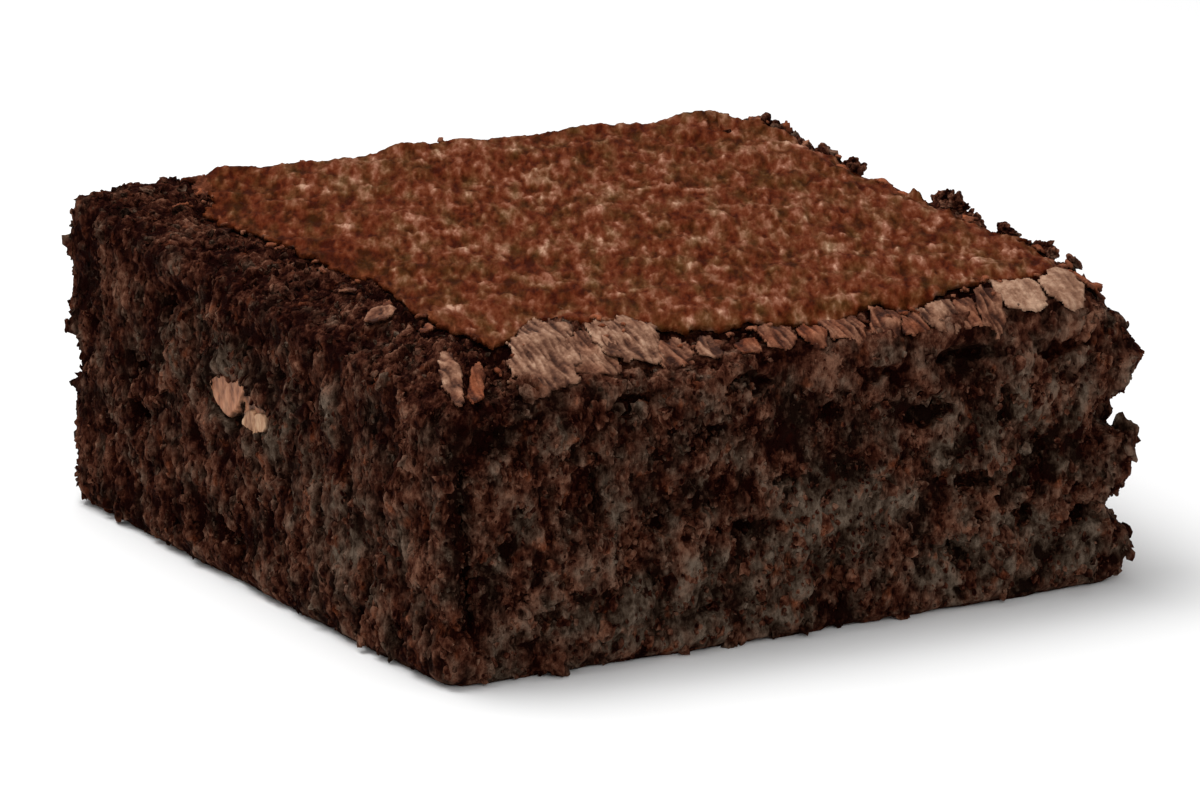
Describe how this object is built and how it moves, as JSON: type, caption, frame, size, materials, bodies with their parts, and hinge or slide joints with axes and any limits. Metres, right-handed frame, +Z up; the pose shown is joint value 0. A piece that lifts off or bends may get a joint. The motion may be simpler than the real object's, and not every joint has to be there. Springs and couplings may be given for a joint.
{
  "type": "fudge brownie",
  "caption": "Square fudge brownie with torn crumb sides, a thin cracked crust with broken plates along its edges, and a piece of nut set in one side.",
  "frame": {"origin": "centre of the brownie's bounding box in plan, on the flat underside", "axes": "+Z up through the crust, +X to the right along the front side, +Y from the front side to the back; the nut shows in the -X side"},
  "size_m": [0.0752, 0.0736, 0.03],
  "materials": {
    "crumb": "dark, dry-looking fudge crumb with a thin reddish crust",
    "nut_flesh": "cut nut flesh, dull"
  },
  "bodies": {
    "root": {"brownie": "crumb", "nut_piece": "nut_flesh"}
  },
  "joints": []
}
